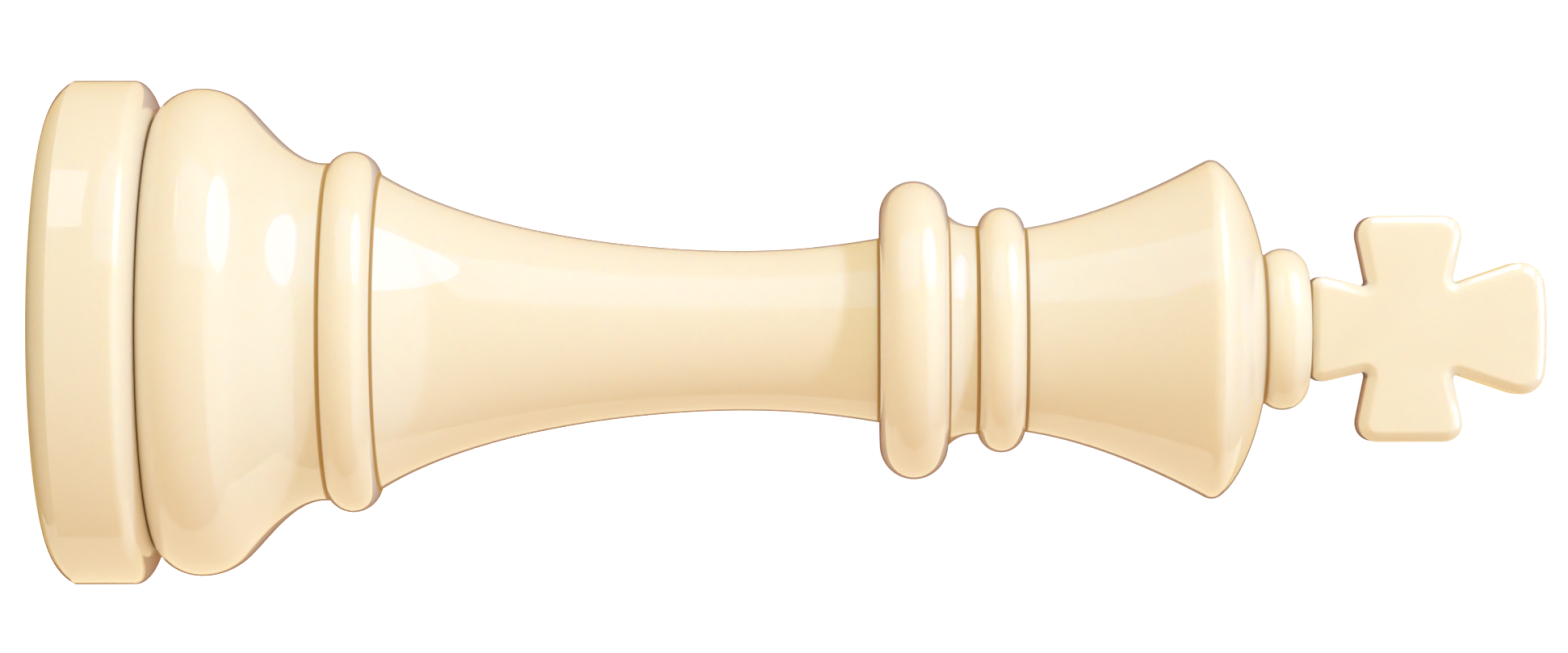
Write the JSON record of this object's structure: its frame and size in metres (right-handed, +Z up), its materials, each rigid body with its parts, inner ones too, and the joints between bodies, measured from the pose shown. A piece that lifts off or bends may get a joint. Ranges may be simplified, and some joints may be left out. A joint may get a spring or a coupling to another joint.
{
  "type": "chess king",
  "caption": "Glossy cream chess king that stands on a flat disc foot, with a bell base, waisted stem, collar, flared head and a broad-armed cross on top.",
  "frame": {"origin": "centre of the flat underside of the foot, on the axis of the turned body", "axes": "+Z up along the king's axis, from the foot to the cross; the cross lies flat in the XZ plane, with its side arms along X and its broad faces towards -Y, the front, and +Y"},
  "size_m": [0.0322, 0.0322, 0.095],
  "materials": {
    "cream_resin": "polished cream resin with a clear gloss"
  },
  "bodies": {
    "root": {"turned_body": "cream_resin", "cross_finial": "cream_resin"}
  },
  "joints": []
}
